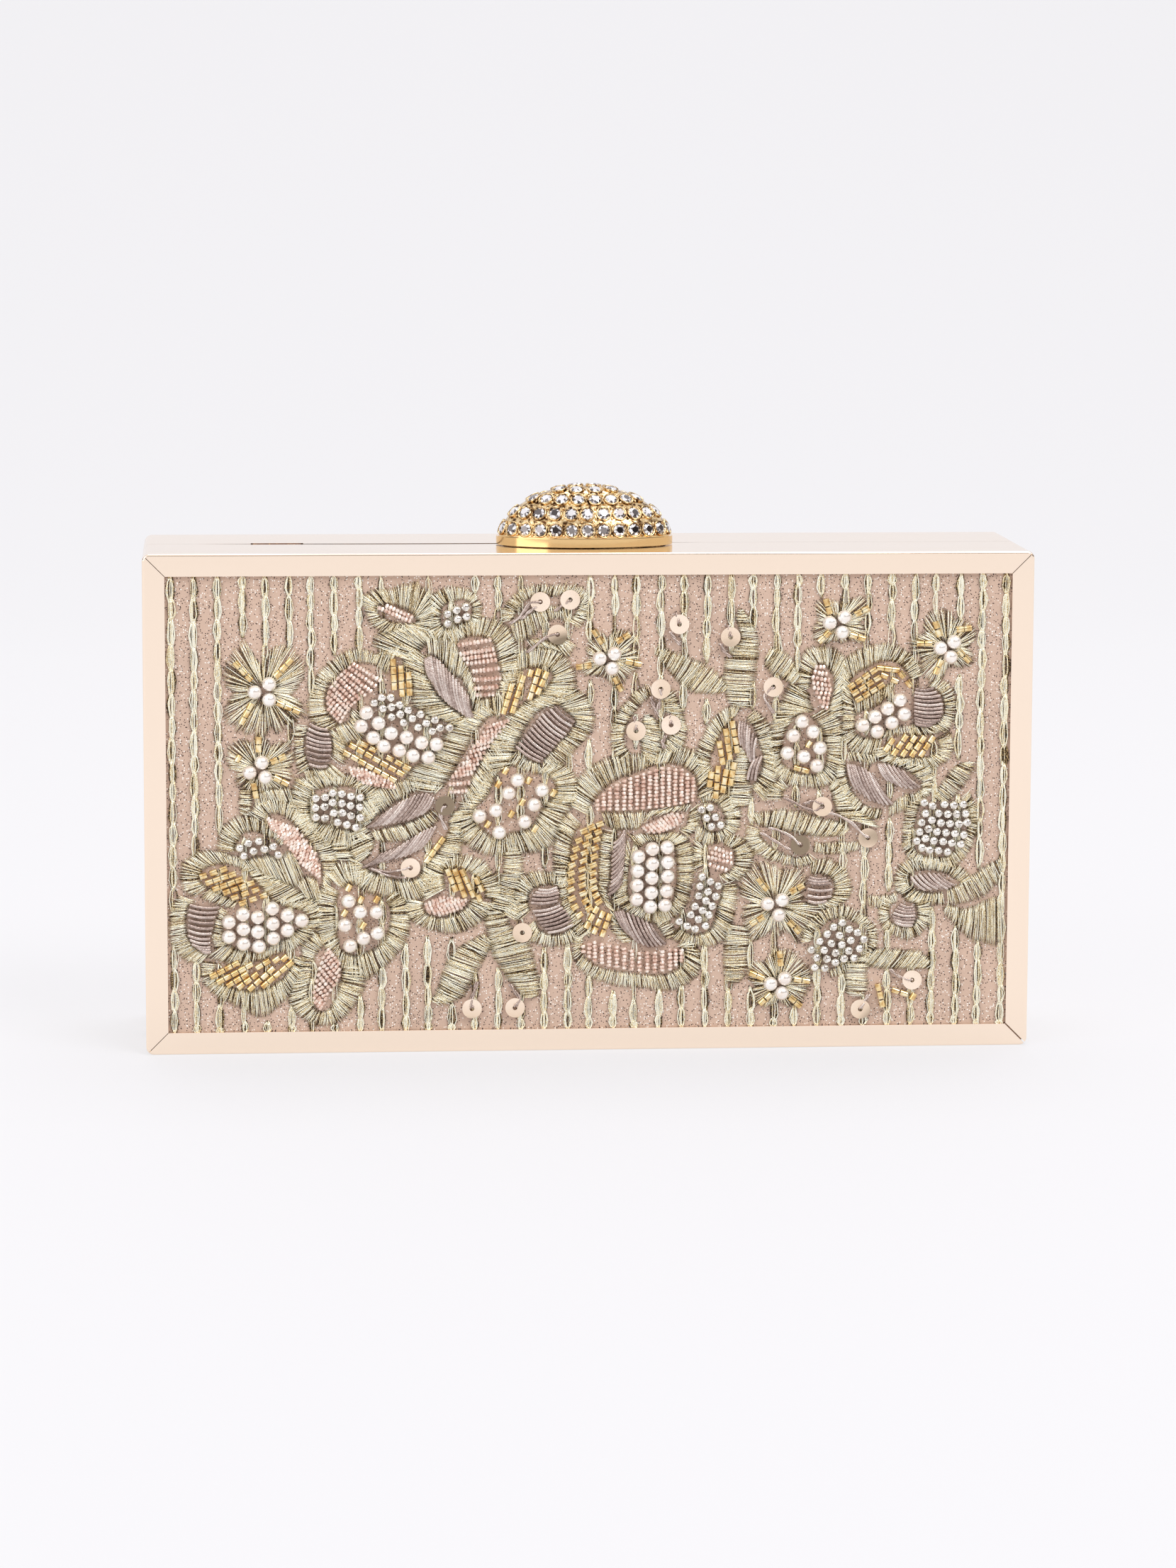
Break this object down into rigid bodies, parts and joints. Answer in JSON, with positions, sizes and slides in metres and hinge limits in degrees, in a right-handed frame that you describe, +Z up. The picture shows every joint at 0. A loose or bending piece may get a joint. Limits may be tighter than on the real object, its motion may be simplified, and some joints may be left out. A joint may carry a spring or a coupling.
{
  "type": "box clutch evening bag",
  "caption": "Hard-case evening bag: two shallow metal halves hinged along the bottom, a beaded embroidered front panel and a domed sliding clasp on top.",
  "frame": {"origin": "middle of the footprint on the surface the bag stands on", "axes": "+X along the case to the right, +Y to the back, +Z up; the beaded panel faces -Y"},
  "size_m": [0.185, 0.0472, 0.1171],
  "materials": {
    "rose_gold": "polished rose-gold plate",
    "rose_gold_hardware": "polished rose-gold plate",
    "clasp_gold": "polished pale gold plate",
    "steel": "nickel-plated",
    "spring_steel": "bright drawn wire",
    "board": "grey-brown pressed card",
    "panel_fabric": "dusty pink glitter fabric",
    "lining": "satin lining",
    "tray": "thin pressed sheet",
    "crystal": "cut crystal",
    "strap_glitter": "brown glitter fabric",
    "pearl": "pearl lustre",
    "seed_silver": "silver-lined glass",
    "sequin": "pale champagne gloss",
    "tube_gold": "gold-lined glass"
  },
  "bodies": {
    "rear_half": {"rear_frame": "rose_gold", "rear_board": "board", "rear_fabric": "panel_fabric", "rear_tray": "tray", "rear_lining": "lining", "hinge_leaf_rear": "rose_gold_hardware", "hinge_rivets_rear": "rose_gold_hardware", "hinge_pin": "steel", "latch_keeper": "steel", "keeper_rivets": "rose_gold_hardware", "strap_tab": "strap_glitter", "strap_rivet": "rose_gold_hardware"},
    "front_half": {"front_frame": "rose_gold", "front_board": "board", "front_fabric": "panel_fabric", "front_tray": "tray", "front_lining": "lining", "hinge_leaf_front": "rose_gold_hardware", "hinge_rivets_front": "rose_gold_hardware", "slider_guide": "steel", "guide_rivets": "rose_gold_hardware", "latch_spring": "spring_steel", "pearl_beads": "pearl", "seed_beads": "seed_silver", "sequins": "sequin", "tube_beads": "tube_gold"},
    "latch": {"latch_slider": "steel", "clasp_dome": "clasp_gold", "clasp_stones": "crystal", "clasp_screw": "steel"},
    "strap_ring": {"strap_ring": "rose_gold_hardware"}
  },
  "joints": [
    {"name": "lid_hinge", "type": "hinge", "parent": "rear_half", "child": "front_half", "pos_m": [0, 0.00108, 0.0012], "axis": [1, 0, 0], "range_deg": [0, 90]},
    {"name": "clasp_slide", "type": "slide", "parent": "front_half", "child": "latch", "axis": [1, 0, 0], "range_m": [0, 0.0033], "stiffness_N_per_m": 300, "springref_m": -0.004, "deforming": ["latch_spring"]},
    {"name": "ring_swing", "type": "hinge", "parent": "rear_half", "child": "strap_ring", "pos_m": [-0.0645, 0.00108, 0.1], "axis": [1, 0, 0], "range_deg": [-60, 60]}
  ]
}
